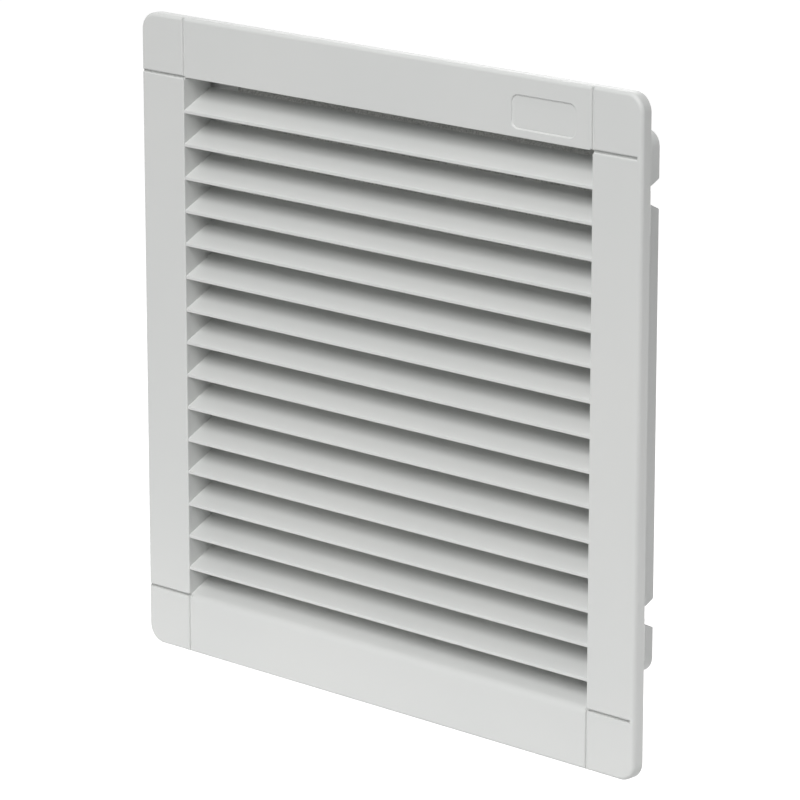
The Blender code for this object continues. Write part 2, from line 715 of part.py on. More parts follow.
def slot_strip(strip, half):
    """Cut the bowed part into separate fingers."""
    count = round(2 * half / FINGER_PITCH)
    pitch = 2 * half / count
    slots = bmesh.new()
    for index in range(1, count):
        middle = -half + pitch * index
        low_x = COLLAR_HALF - OVERSHOOT
        high_x = STRIP_FACE + FINGER_BOW + OVERSHOOT
        outline = rectangle(low_x, high_x, FINGER_FRONT - OVERSHOOT, FINGER_BACK - FINGER_ROOT)
        add_prism(slots, outline, "Z", middle - FINGER_SLOT / 2, middle + FINGER_SLOT / 2)
    cut(strip, slots)


def build_side_strip(name, turn, material):
    """Strip beside the clips, with a long foot that reaches the lugs."""
    inner_end = BOX_HALF_X + SHEET + 4 * GAP
    strip = strip_body(inner_end, SIDE_FOOT_HALF, name, material)
    ends = bmesh.new()
    low_x = inner_end + SIDE_FOOT_WIDTH
    high_x = STRIP_FACE + FINGER_BOW + OVERSHOOT
    outline = rectangle(low_x, high_x, FINGER_FRONT - OVERSHOOT, STRIP_FOOT + OVERSHOOT)
    for side in (-1, 1):
        low, high = sorted((side * SIDE_FINGERS_HALF, side * (SIDE_FOOT_HALF + OVERSHOOT)))
        add_prism(ends, outline, "Z", low, high)
    cut(strip, ends)
    slot_strip(strip, SIDE_FINGERS_HALF)
    strip.rotation_euler = (0.0, turn, 0.0)
    return strip


def build_long_strip(name, turn, material):
    """Strip along the collar's top or bottom."""
    strip = strip_body(BOX_HALF_Z + 3 * GAP, LONG_STRIP_HALF, name, material)
    slot_strip(strip, LONG_STRIP_HALF)
    strip.rotation_euler = (0.0, turn, 0.0)
    return strip


def build_clip(name, side_x, side_z, material):
    """Spring-steel clip: an eye on the pin, a hooked leaf and a flat tail."""
    reach = COLLAR_HALF + CLIP_REACH - CLIP_AXIS_X
    grip = CLIP_GRIP - CLIP_AXIS_Y
    leaf = [
        (0.0, 0.0), (reach * 0.42, -CLIP_SHEET), (reach * 0.70, grip * 0.17),
        (reach, grip * 0.80), (reach * 0.92, grip * 0.94), (reach * 0.70, grip),
    ]
    half = CLIP_WIDTH / 2
    clip = make_object(name, prism(circle((0.0, 0.0), CLIP_EYE, 20), "Z", -half, half), material)
    join(clip, prism(band(leaf, CLIP_SHEET), "Z", -half, half))
    tail = rectangle(-CLIP_TAIL, 0.0, -CLIP_SHEET / 2, CLIP_SHEET / 2)
    join(clip, prism(tail, "Z", -half, half))
    cut(clip, prism(circle((0.0, 0.0), CLIP_BORE, 16), "Z", -half - OVERSHOOT, half + OVERSHOOT))
    clip.parent = clip_axis(name, side_x, side_z)
    return clip


def clip_axis(name, side_x, side_z):
    """Empty on a clip's hinge axis, turned so that +X points outwards."""
    axis = bpy.data.objects.new(name + "_axis", None)
    bpy.context.scene.collection.objects.link(axis)
    axis.location = (side_x * CLIP_AXIS_X, CLIP_AXIS_Y, side_z * NOTCH_Z)
    axis.rotation_euler = (0.0, 0.0 if side_x > 0 else math.pi, 0.0)
    return axis


def build_pin(name, side_x, side_z, material):
    """Headed pin through a clip's eye and its two ears."""
    end = POCKET_HALF + EAR_WALL
    profile = [
        (0.0, -end), (PIN_RADIUS, -end), (PIN_RADIUS, end + GAP), (PIN_HEAD_RADIUS, end + GAP),
        (PIN_HEAD_RADIUS, end + GAP + PIN_HEAD_HEIGHT), (0.0, end + GAP + PIN_HEAD_HEIGHT),
    ]
    pin = make_object(name, lathe(profile, "Z", 14), material)
    pin.location = (side_x * CLIP_AXIS_X, CLIP_AXIS_Y, side_z * NOTCH_Z)
    return pin


def build():
    """Make every piece of the filter in its place."""
    clear_scene()
    grey = make_material("grey_plastic", (0.67, 0.68, 0.67), 0.5)
    fibre = make_material("mat_fibre", (0.78, 0.78, 0.76), 0.95)
    foam = make_material("black_foam", (0.03, 0.03, 0.03), 0.9)
    steel = make_material("stainless_wire", (0.55, 0.55, 0.54), 0.35, 1.0)
    zinc = make_material("zinc_plated_sheet", (0.66, 0.67, 0.68), 0.35, 1.0)
    spring = make_material("spring_steel", (0.50, 0.50, 0.49), 0.3, 1.0)
    pieces = [
        build_front_cover(grey),
        build_filter_mat(fibre),
        build_rear_frame(grey),
        build_panel_gasket(foam),
        build_shield_mesh(steel),
        build_shield_frame(zinc),
        build_side_strip("contact_strip_right", 0.0, spring),
        build_side_strip("contact_strip_left", math.pi, spring),
        build_long_strip("contact_strip_top", -math.pi / 2, spring),
        build_long_strip("contact_strip_bottom", math.pi / 2, spring),
    ]
    for corner, side_x, side_z in corners():
        pieces.append(build_screw("shield_screw_" + corner, side_x, side_z, zinc))
        pieces.append(build_clip("panel_clip_" + corner, side_x, side_z, spring))
        pieces.append(build_pin("clip_pin_" + corner, side_x, side_z, zinc))
    for piece in pieces:
        smooth(piece)


build()
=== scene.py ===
# %% [markdown]
# # A screened exhaust filter, dressed around its fixed model
#
# The filter sits in a square hole in the wall of an electrical cabinet. Warm air
# leaves through the louvres, a fibre mat keeps dust out, and a wire screen with
# spring fingers keeps radio noise in. The construction is already packed as a
# fixed frame of solids, so this script only gives each solid its finish, or
# lays a finer mesh over it in exactly the same place.

import json
import math
import random

import bmesh
import bpy
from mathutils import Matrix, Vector, noise


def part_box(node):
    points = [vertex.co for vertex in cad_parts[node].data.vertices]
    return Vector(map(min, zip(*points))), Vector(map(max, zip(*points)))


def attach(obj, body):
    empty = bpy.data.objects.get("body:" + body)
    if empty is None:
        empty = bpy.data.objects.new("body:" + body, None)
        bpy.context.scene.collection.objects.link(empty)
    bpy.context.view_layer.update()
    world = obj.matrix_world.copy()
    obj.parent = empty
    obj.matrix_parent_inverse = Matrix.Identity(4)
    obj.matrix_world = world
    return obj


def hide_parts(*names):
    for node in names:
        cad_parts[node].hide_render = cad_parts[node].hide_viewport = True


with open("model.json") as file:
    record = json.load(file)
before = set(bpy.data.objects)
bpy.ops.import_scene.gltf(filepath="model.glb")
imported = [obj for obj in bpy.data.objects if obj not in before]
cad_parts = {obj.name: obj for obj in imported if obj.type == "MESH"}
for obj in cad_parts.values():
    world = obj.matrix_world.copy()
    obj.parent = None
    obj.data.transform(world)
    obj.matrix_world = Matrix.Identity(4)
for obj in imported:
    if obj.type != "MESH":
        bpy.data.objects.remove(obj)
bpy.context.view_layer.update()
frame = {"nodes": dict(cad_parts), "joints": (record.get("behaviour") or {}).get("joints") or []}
MM = 0.001

# %% [markdown]
# ## Reading places from the frame
#
# Every new mesh has to lie where its solid lies. Asking the frame for a node's
# lowest and highest corner is safer than typing the numbers again, so the
# main planes of the filter are read from it once and given plain names.

# %% Main planes of the filter
COVER_LOW, COVER_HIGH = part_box("front_cover")
FRAME_LOW, FRAME_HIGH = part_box("rear_frame")
MAT_LOW, MAT_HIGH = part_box("filter_mat")
SCREEN_LOW, SCREEN_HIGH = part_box("shield_mesh")
COVER_HALF = COVER_HIGH.x
COVER_FACE = COVER_LOW.y
SURROUND_BACK = COVER_HIGH.y
print("cover face at", round(COVER_FACE / MM, 2), "mm, surround back at", round(SURROUND_BACK / MM, 2), "mm")

# %% [markdown]
# ## Small modelling helpers
#
# Most of this object is moulded plastic: flat outlines pushed straight through
# a thickness, joined and cut. Three helpers cover that. `outline_of` gives a
# rectangle with round corners, `push` extrudes an outline with bmesh, and
# `combine` runs an exact Boolean and keeps only its result. `shade` weights
# the normals by area, so a broad face stays flat right up to its rounded edge.

# %% Outlines and extrusions
PLACED = {
    "X": lambda a, b, level: (level, a, b),
    "Y": lambda a, b, level: (a, level, b),
    "Z": lambda a, b, level: (a, b, level),
}


def arc(centre, radius, start, end, steps):
    """Points on an arc, with both ends, angles in degrees."""
    angles = [math.radians(start + (end - start) * step / steps) for step in range(steps + 1)]
    return [(centre[0] + radius * math.cos(a), centre[1] + radius * math.sin(a)) for a in angles]


def outline_of(half_a, half_b, radius, steps=8, centre=(0.0, 0.0)):
    """Rectangle with round corners, counter-clockwise."""
    points = []
    for side_a, side_b, start in ((1, 1, 0), (-1, 1, 90), (-1, -1, 180), (1, -1, 270)):
        corner = (centre[0] + side_a * (half_a - radius), centre[1] + side_b * (half_b - radius))
        points += arc(corner, radius, start, start + 90, steps)
    return points


def push(bm, outline, axis, low, high):
    """Make a face from an outline and extrude it along an axis."""
    place = PLACED[axis]
    face = bm.faces.new([bm.verts.new(place(a, b, low)) for a, b in outline])
    grown = bmesh.ops.extrude_face_region(bm, geom=[face])["geom"]
    tops = [item for item in grown if isinstance(item, bmesh.types.BMVert)]
    shift = Vector(place(0, 0, high)) - Vector(place(0, 0, low))
    bmesh.ops.translate(bm, verts=tops, vec=shift)


def pushed(outline, axis, low, high):
    """A bmesh with one extruded outline."""
    bm = bmesh.new()
    push(bm, outline, axis, low, high)
    return bm


# %% Objects and Booleans
def make_object(name, bm):
    """Turn a bmesh into an object whose faces point outwards."""
    bmesh.ops.recalc_face_normals(bm, faces=bm.faces)
    mesh = bpy.data.meshes.new(name)
    bm.to_mesh(mesh)
    bm.free()
    item = bpy.data.objects.new(name, mesh)
    bpy.context.scene.collection.objects.link(item)
    return item


def combine(item, tool_bm, operation):
    """Join a shape to an object or cut it out of it."""
    tool = make_object("tool", tool_bm)
    step = item.modifiers.new("combine", "BOOLEAN")
    step.operation = operation
    step.solver = "EXACT"
    step.object = tool
    graph = bpy.context.evaluated_depsgraph_get()
    item.data = bpy.data.meshes.new_from_object(item.evaluated_get(graph))
    item.modifiers.clear()
    bpy.data.objects.remove(tool, do_unlink=True)


def shade(item, degrees=32.0):
    """Smooth the round faces, keep sharp edges and let large faces stay flat."""
    item.data.shade_smooth()
    item.data.set_sharp_from_angle(angle=math.radians(degrees))
    step = item.modifiers.new("flat_first", "WEIGHTED_NORMAL")
    step.keep_sharp = True
    graph = bpy.context.evaluated_depsgraph_get()
    item.data = bpy.data.meshes.new_from_object(item.evaluated_get(graph))
    item.modifiers.clear()


# %% [markdown]
# ## Moulded plastic
#
# The cover and the frame are light grey ABS with a fine eroded texture. A flat
# grey would look like paint on glass, so three small things are added: a
# slow drift of the tone over the moulding, a roughness that varies with it, and
# a very fine grain in the bump. All read Object coordinates, so they stay put
# when the cover is pulled off.

# %% Material helpers
def new_material(name):
    """A node material with its Principled shader."""
    material = bpy.data.materials.new(name)
    material.use_nodes = True
    tree = material.node_tree
    return material, tree, tree.nodes["Principled BSDF"]


def noise_node(tree, scale, detail=3.0, stretch=(1.0, 1.0, 1.0)):
    """Noise on Object coordinates, stretched along an axis if asked."""
    place = tree.nodes.new("ShaderNodeTexCoord")
    turn = tree.nodes.new("ShaderNodeMapping")
    turn.inputs["Scale"].default_value = stretch
    grain = tree.nodes.new("ShaderNodeTexNoise")
    grain.inputs["Scale"].default_value = scale
    grain.inputs["Detail"].default_value = detail
    tree.links.new(place.outputs["Object"], turn.inputs["Vector"])
    tree.links.new(turn.outputs["Vector"], grain.inputs["Vector"])
    return grain


def ramp_node(tree, source, low, high, colours):
    """Turn a grey value into a colour between two ends."""
    ramp = tree.nodes.new("ShaderNodeValToRGB")
    ramp.color_ramp.elements[0].position = low
    ramp.color_ramp.elements[1].position = high
    ramp.color_ramp.elements[0].color = (*colours[0], 1.0)
    ramp.color_ramp.elements[1].color = (*colours[1], 1.0)
    tree.links.new(source, ramp.inputs["Fac"])
    return ramp


def range_node(tree, source, low, high):
    """Map a 0 to 1 value onto a range."""
    span = tree.nodes.new("ShaderNodeMapRange")
    span.inputs["To Min"].default_value = low
    span.inputs["To Max"].default_value = high
    tree.links.new(source, span.inputs["Value"])
    return span


def bump_node(tree, shader, source, strength, depth):
    """Feed a height to the shader's normal."""
    bump = tree.nodes.new("ShaderNodeBump")
    bump.inputs["Strength"].default_value = strength
    bump.inputs["Distance"].default_value = depth
    tree.links.new(source, bump.inputs["Height"])
    tree.links.new(bump.outputs["Normal"], shader.inputs["Normal"])
    return bump


# %% Light grey moulding
def moulded_grey(name, light, dark, roughness):
    """Eroded plastic whose tone drifts a little over the moulding."""
    material, tree, shader = new_material(name)
    drift = noise_node(tree, 14.0, 2.0)
    tone = ramp_node(tree, drift.outputs["Fac"], 0.30, 0.70, (dark, light))
    tree.links.new(tone.outputs["Color"], shader.inputs["Base Color"])
    grain = noise_node(tree, 2600.0, 4.0)
    sheen = range_node(tree, grain.outputs["Fac"], roughness - 0.06, roughness + 0.06)
    tree.links.new(sheen.outputs["Result"], shader.inputs["Roughness"])
    bump_node(tree, shader, grain.outputs["Fac"], 0.10, 0.00004)
    shader.inputs["Specular IOR Level"].default_value = 0.42
    return material


cover_grey = moulded_grey("cover_grey", (0.665, 0.672, 0.660), (0.645, 0.655, 0.645), 0.50)
frame_grey = moulded_grey("frame_grey", (0.695, 0.702, 0.692), (0.672, 0.682, 0.674), 0.55)
print("plastic ready")

# %% [markdown]
# ## Metal sheet and wire
#
# Three metals show from behind: bright zinc plate on the shield frame, pins and
# screws, rolled spring steel on the clips and finger strips, and plain
# stainless wire. Zinc plate has a faint cloudy spangle. Spring steel shows
# fine drawn lines along the strip, made by stretching one noise.

# %% Metals
def zinc_plate(name):
    """Zinc-plated steel with a faint cloudy sheen."""
    material, tree, shader = new_material(name)
    cloud = noise_node(tree, 180.0, 5.0)
    tone = ramp_node(tree, cloud.outputs["Fac"], 0.35, 0.68, ((0.56, 0.57, 0.59), (0.70, 0.71, 0.72)))
    tree.links.new(tone.outputs["Color"], shader.inputs["Base Color"])
    sheen = range_node(tree, cloud.outputs["Fac"], 0.26, 0.44)
    tree.links.new(sheen.outputs["Result"], shader.inputs["Roughness"])
    shader.inputs["Metallic"].default_value = 1.0
    bump_node(tree, shader, cloud.outputs["Fac"], 0.08, 0.00003)
    return material


def rolled_steel(name, stretch):
    """Spring steel with fine lines along its rolling direction."""
    material, tree, shader = new_material(name)
    lines = noise_node(tree, 900.0, 4.0, stretch)
    tone = ramp_node(tree, lines.outputs["Fac"], 0.30, 0.70, ((0.44, 0.44, 0.43), (0.58, 0.58, 0.57)))
    tree.links.new(tone.outputs["Color"], shader.inputs["Base Color"])
    sheen = range_node(tree, lines.outputs["Fac"], 0.20, 0.34)
    tree.links.new(sheen.outputs["Result"], shader.inputs["Roughness"])
    shader.inputs["Metallic"].default_value = 1.0
    bump_node(tree, shader, lines.outputs["Fac"], 0.10, 0.00002)
    return material


zinc = zinc_plate("zinc_plate")
steel_along_z = rolled_steel("spring_steel_upright", (1.0, 1.0, 0.06))
steel_along_x = rolled_steel("spring_steel_level", (0.06, 1.0, 1.0))
print("metals ready")

# %% [markdown]
# ## The louvred cover
#
# The cover is one moulding and the part everyone looks at, so it gets the most
# care. It is built like its mould: a rounded slab, hollowed from behind, with a
# deep square surround, sloping blades across it, grooves that mark off the four
# corner blocks, and a shallow recess for a label, left bare. The sizes repeat
# those of the solid it covers, but the edges are finer.

# %% Sizes of the cover
COVER_CORNER = 7.0 * MM
EDGE_ROUND = 1.5 * MM
WALL = 2.0 * MM
OPENING_HALF = COVER_HALF - 22.8 * MM
MOUTH_ROUND = 0.4 * MM
SILL_ROUND = 4.0 * MM
BLADE_COUNT = 15
BLADE_PITCH = 12.86 * MM
BLADE_THICKNESS = 1.5 * MM
BLADE_SLOPE = 0.5
BLADE_SETBACK = 0.4 * MM
BLADE_DROP = 1.2 * MM
LIP_ROUND = 0.35 * MM
LEVEL_GROOVE = 1.3 * MM
UPRIGHT_GROOVE = 0.85 * MM
GROOVE_FLOOR_HALF = 0.42 * MM
GROOVE_ROUND = 0.70 * MM
GROOVE_STOP = 2.2 * MM
OVER = 1.0 * MM


# %% The shell: slab, hollow and surround
def rounded_slab():
    """Front slab whose front edge is rounded over."""
    slab = pushed(
        outline_of(COVER_HALF, COVER_HALF, COVER_CORNER, 12), "Y", COVER_FACE, -0.3 * MM
    )
    rim = [e for e in slab.edges if all(abs(v.co.y - COVER_FACE) < 1e-5 for v in e.verts)]
    bmesh.ops.bevel(
        slab, geom=rim, offset=EDGE_ROUND, segments=7, profile=0.5, affect="EDGES", material=-1
    )
    return make_object("louvred_cover", slab)


def soften_mouth(item, radius):
    """Round the four edges where the opening's walls meet the face."""
    bm = bmesh.new()
    bm.from_mesh(item.data)
    bmesh.ops.remove_doubles(bm, verts=bm.verts, dist=1e-6)
    bmesh.ops.dissolve_limit(bm, angle_limit=0.001, verts=bm.verts, edges=bm.edges)
    mouth = []
    for edge in bm.edges:
        flat = all(abs(v.co.y - COVER_FACE) < 1e-5 for v in edge.verts)
        if flat and all(abs(max(abs(v.co.x), abs(v.co.z)) - OPENING_HALF) < 1e-5 for v in edge.verts):
            mouth.append(edge)
    bmesh.ops.bevel(
        bm, geom=mouth, offset=radius, segments=4, profile=0.5, affect="EDGES", material=-1
    )
    bm.to_mesh(item.data)
    bm.free()
    return len(mouth)


cover = rounded_slab()
inside = COVER_HALF - WALL
hollow = outline_of(inside, inside, COVER_CORNER - WALL, 10)
combine(cover, pushed(hollow, "Y", COVER_FACE + WALL, OVER), "DIFFERENCE")
surround = outline_of(OPENING_HALF + WALL, OPENING_HALF + WALL, WALL, 6)
combine(cover, pushed(surround, "Y", COVER_FACE + WALL / 2, SURROUND_BACK), "UNION")
opening = [(OPENING_HALF * a, OPENING_HALF * b) for a, b in ((1, 1), (-1, 1), (-1, -1), (1, -1))]
combine(cover, pushed(opening, "Y", COVER_FACE - OVER, SURROUND_BACK + OVER), "DIFFERENCE")
print("shell:", len(cover.data.polygons), "faces,", soften_mouth(cover, MOUTH_ROUND), "mouth edges")

# %% [markdown]
# ## Blades and sill
#
# Each blade is a sloping strip whose front lip has a small radius on both
# edges. The profile is drawn once from two arcs and pushed across the
# opening, then copied up the column. Its ends sink into the surround, so one
# union joins all of them. The sill at the bottom slopes in the same way.

# %% Blade profile
def blade_profile(bottom):
    """Side view of a blade, in (y, z), with a rounded lip."""
    front = COVER_FACE + BLADE_SETBACK
    rise = BLADE_SLOPE * (SURROUND_BACK - front)
    top = bottom + BLADE_THICKNESS
    tilt = math.degrees(math.atan(BLADE_SLOPE))
    run = LIP_ROUND * math.tan(math.radians(90.0 + tilt) / 2)
    low_run = LIP_ROUND * math.tan(math.radians(90.0 - tilt) / 2)
    lower = arc((front + LIP_ROUND, bottom + run), LIP_ROUND, 180.0, 270.0 + tilt, 5)
    upper = arc((front + LIP_ROUND, top - low_run), LIP_ROUND, 90.0 + tilt, 180.0, 5)
    return lower + [(SURROUND_BACK, bottom + rise), (SURROUND_BACK, top + rise)] + upper


blades = bmesh.new()
half_length = OPENING_HALF + WALL / 2
first = BLADE_PITCH * (BLADE_COUNT - 1) / 2 - BLADE_DROP - BLADE_THICKNESS / 2
for index in range(BLADE_COUNT):
    push(blades, blade_profile(first - BLADE_PITCH * index), "X", -half_length, half_length)
SILL = -OPENING_HALF - BLADE_THICKNESS + 0.2 * MM
push(blades, blade_profile(SILL), "X", -half_length, half_length)
combine(cover, blades, "UNION")
print("with blades:", len(cover.data.polygons), "faces")


# %% The rail's face rolls over into the sill
def sill_roll(radius, steps):
    """Cutter between the flat face and the sloping sill, round where it cuts."""
    lean = math.degrees(math.atan(BLADE_SLOPE))
    low = -OPENING_HALF - radius * math.tan(math.radians(90.0 - lean) / 2)
    curve = arc((COVER_FACE + radius, low), radius, 180.0, 90.0 + lean, steps)
    above = curve[-1][1] + OVER
    outline = curve + [(curve[-1][0], above), (COVER_FACE - OVER, above), (COVER_FACE - OVER, low)]
    return pushed(outline, "X", -OPENING_HALF, OPENING_HALF)


combine(cover, sill_roll(SILL_ROUND, 14), "DIFFERENCE")
print("with sill:", len(cover.data.polygons), "faces")


# %% [markdown]
# ## Grooves, label recess and snap tongues
#
# The grooves are shallow and soft. A cutter with a round-shouldered profile
# leaves that softness directly in the mesh, which is neater than bevelling
# the edges of a finished Boolean. They run from the corners of the opening to
# the outside and nick the rounded rim, except the two level ones on the right,
# which stop where the rim begins to round.

# %% Grooves
def groove_profile(centre, floor):
    """Groove section in (across, depth): round shoulders and a narrow floor."""
    shoulder = GROOVE_FLOOR_HALF + GROOVE_ROUND
    left = [(-shoulder, COVER_FACE - OVER)]
    left += arc((-shoulder, COVER_FACE + GROOVE_ROUND), GROOVE_ROUND, -90.0, 0.0, 5)
    left += [(-GROOVE_FLOOR_HALF, COVER_FACE + floor)]
    right = [(-across, depth) for across, depth in reversed(left)]
    return [(centre + across, depth) for across, depth in left + right]


start = OPENING_HALF - 1.0 * MM
end = COVER_HALF + OVER
short_end = COVER_HALF - GROOVE_STOP
for side in (-1, 1):
    upright = groove_profile(side * OPENING_HALF, UPRIGHT_GROOVE)
    level = [(depth, across) for across, depth in groove_profile(side * OPENING_HALF, LEVEL_GROOVE)]
    for low, high in ((start, end), (-end, -start)):
        combine(cover, pushed(upright, "Z", low, high), "DIFFERENCE")
    for low, high in ((start, short_end), (-end, -start)):
        combine(cover, pushed(level, "X", low, high), "DIFFERENCE")
print("with grooves:", len(cover.data.polygons), "faces")

# %% Label recess and tongues
LABEL_CENTRE = (79.3 * MM, 111.4 * MM)
LABEL_HALF = (15.1 * MM, 6.1 * MM)
LABEL_CORNER = 3.0 * MM
LABEL_SHOULDER = 0.40 * MM
LABEL_FOOT = 0.25 * MM


def label_cutter():
    """Shallow recess, round where its wall leaves the face and meets the floor."""
    shoulder = arc((LABEL_SHOULDER, LABEL_SHOULDER), LABEL_SHOULDER, 270.0, 180.0, 5)
    foot = arc((-LABEL_FOOT, LABEL_SHOULDER), LABEL_FOOT, 0.0, 90.0, 4)
    bm = bmesh.new()
    rings = []
    for grow, depth in [(LABEL_SHOULDER, -OVER)] + shoulder + foot[1:]:
        ring = outline_of(
            LABEL_HALF[0] + grow, LABEL_HALF[1] + grow, LABEL_CORNER + grow, 10, LABEL_CENTRE
        )
        rings.append([bm.verts.new((x, COVER_FACE + depth, z)) for x, z in ring])
    for one, two in zip(rings, rings[1:]):
        for index, vert in enumerate(one):
            bm.faces.new((one[index - 1], vert, two[index], two[index - 1]))
    bm.faces.new(rings[0])
    bm.faces.new(rings[-1])
    return bm


TONGUE_X = 59.5 * MM
TONGUE_HALF = 6.0 * MM
TONGUE_OUTER = 108.0 * MM
TONGUE_WALL = 1.4 * MM
TONGUE_BACK = 6.8 * MM
BEAD = 0.7 * MM
BEAD_START = 3.6 * MM
BEAD_END = 6.3 * MM
tongue = [
    (COVER_FACE + 1.5 * MM, TONGUE_OUTER - TONGUE_WALL), (COVER_FACE + 1.5 * MM, TONGUE_OUTER),
    (BEAD_START, TONGUE_OUTER), (BEAD_START + BEAD, TONGUE_OUTER + BEAD),
    (BEAD_END - BEAD, TONGUE_OUTER + BEAD), (TONGUE_BACK, TONGUE_OUTER - TONGUE_WALL / 2),
    (TONGUE_BACK, TONGUE_OUTER - TONGUE_WALL),
]
combine(cover, label_cutter(), "DIFFERENCE")
tongues = bmesh.new()
for side_x in (-1, 1):
    for side_z in (-1, 1):
        middle = side_x * TONGUE_X
        profile = [(y, side_z * z) for y, z in tongue]
        push(tongues, profile, "X", middle - TONGUE_HALF, middle + TONGUE_HALF)
combine(cover, tongues, "UNION")
shade(cover)
cover.data.materials.clear()
cover.data.materials.append(cover_grey)
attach(cover, "cover")
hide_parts("front_cover")
print("cover done:", len(cover.data.polygons), "faces")

# %% [markdown]
# ## The filter mat
#
# The mat is a thick pad of bonded white fibre. A voxel remesh gives the block
# even faces all over, so that seeded noise can push its skin in and out by a
# fraction of a millimetre. Loose strands are then laid on its two large faces,
# because it is the stray fibres that the eye reads as felt.

# %% Fibre skin
MAT_ROUND = 2.5 * MM
MAT_VOXEL = 1.9 * MM
MAT_DEPTH = 0.9 * MM


def fibre_block(name):
    """Block of the mat's size with soft edges, remeshed into even faces."""
    low, high = MAT_LOW, MAT_HIGH
    bm = bmesh.new()
    bmesh.ops.create_cube(bm, size=1.0)
    for vert in bm.verts:
        vert.co = Vector([
            (low[i] + high[i]) / 2 + vert.co[i] * (high[i] - low[i] - 0.3 * MM) for i in range(3)
        ])
    bmesh.ops.bevel(bm, geom=bm.edges[:], offset=MAT_ROUND, segments=4, profile=0.5, affect="EDGES", material=-1)
    item = make_object(name, bm)
    grid = item.modifiers.new("grid", "REMESH")
    grid.mode = "VOXEL"
    grid.voxel_size = MAT_VOXEL
    graph = bpy.context.evaluated_depsgraph_get()
    item.data = bpy.data.meshes.new_from_object(item.evaluated_get(graph))
    item.modifiers.clear()
    return item


def lump(place):
    """Inward push of the skin: slow hollows plus a fine tangle."""
    slow = noise.noise(place * 90.0)
    fine = noise.noise(place * 420.0 + Vector((7.0, 3.0, 1.0)))
    return MAT_DEPTH * min(max(0.45 + 0.45 * slow + 0.35 * fine, 0.0), 1.0)


mat = fibre_block("fibre_mat")
for vert, normal in zip(mat.data.vertices, [v.normal.copy() for v in mat.data.vertices]):
    vert.co = vert.co - normal * lump(vert.co)
print("mat skin:", len(mat.data.polygons), "faces")

# %% Loose strands
STRAND_COUNT = 1500
STRAND_RADIUS = 0.07 * MM
STRAND_STEP = 1.6 * MM
STRAND_POINTS = 7
dice = random.Random(5)


def strand_path(side):
    """Curling path over one large face of the mat."""
    reach_x = MAT_HIGH.x - 5.0 * MM
    reach_z = MAT_HIGH.z - 5.0 * MM
    x = dice.uniform(-reach_x, reach_x)
    z = dice.uniform(-reach_z, reach_z)
    heading = dice.uniform(0.0, math.tau)
    bend = dice.uniform(-0.5, 0.5)
    face = MAT_LOW.y if side < 0 else MAT_HIGH.y
    points = []
    for index in range(STRAND_POINTS):
        sink = dice.uniform(0.15, 0.55) * MM
        points.append(Vector((x, face - side * sink, z)))
        x += STRAND_STEP * math.cos(heading)
        z += STRAND_STEP * math.sin(heading)
        heading += bend
    return points


def add_strand(bm, points, radius):
    """Three-sided tube along a path, closed at both ends."""
    rings = []
    for point in points:
        ring = []
        for corner in range(3):
            turn = math.tau * corner / 3
            ring.append(bm.verts.new(point + Vector((math.cos(turn), math.sin(turn), math.sin(turn + 1))) * radius))
        rings.append(ring)
    for one, two in zip(rings, rings[1:]):
        for corner in range(3):
            after = (corner + 1) % 3
            bm.faces.new((one[corner], one[after], two[after], two[corner]))
    bm.faces.new(rings[0][::-1])
    bm.faces.new(rings[-1])


strands = bmesh.new()
strands.from_mesh(mat.data)
for number in range(STRAND_COUNT):
    add_strand(strands, strand_path(-1 if number % 2 else 1), STRAND_RADIUS)
strands.to_mesh(mat.data)
strands.free()
mat.data.shade_smooth()

felt, felt_tree, felt_shader = new_material("white_fibre")
tangle = noise_node(felt_tree, 1100.0, 6.0)
felt_tone = ramp_node(felt_tree, tangle.outputs["Fac"], 0.30, 0.62, ((0.56, 0.56, 0.54), (0.84, 0.84, 0.82)))
felt_tree.links.new(felt_tone.outputs["Color"], felt_shader.inputs["Base Color"])
felt_shader.inputs["Roughness"].default_value = 0.95
bump_node(felt_tree, felt_shader, tangle.outputs["Fac"], 0.7, 0.0004)
mat.data.materials.clear()
mat.data.materials.append(felt)
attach(mat, "mat")
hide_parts("filter_mat")
print("mat done:", len(mat.data.polygons), "faces")

# %% [markdown]
# ## The wire screen
#
# The screen is plain-woven steel wire. Each wire passes over one crossing wire
# and under the next, so a wire is a zigzag whose height changes sign at every
# crossing. Two families of such wires, in step with each other, make a cloth
# that really interlaces. Three-sided wires keep the count of faces low.

# %% Wire cloth
WIRE_PITCH = 1.7 * MM
WIRE_RADIUS = 0.1 * MM


def stations(half):
    """Evenly spaced places from one edge of the cloth to the other."""
    count = int(2 * half / WIRE_PITCH)
    return [(index - (count - 1) / 2) * WIRE_PITCH for index in range(count)]


def wire_points(fixed, crossings, along, phase):
    """Zigzag of one wire; `along` is 0 for a level wire and 2 for an upright one."""
    middle = (SCREEN_LOW.y + SCREEN_HIGH.y) / 2
    points = []
    for index, place in enumerate(crossings):
        height = middle + (WIRE_RADIUS if (index + phase) % 2 else -WIRE_RADIUS)
        points.append((place, height, fixed) if along == 0 else (fixed, height, place))
    return points


def wire_section(along):
    """Corners of a wire's three-sided section, as offsets from its middle."""
    corners = []
    for turn in (90.0, 210.0, 330.0):
        up = WIRE_RADIUS * math.sin(math.radians(turn))
        across = WIRE_RADIUS * math.cos(math.radians(turn))
        corners.append((0.0, up, across) if along == 0 else (across, up, 0.0))
    return corners


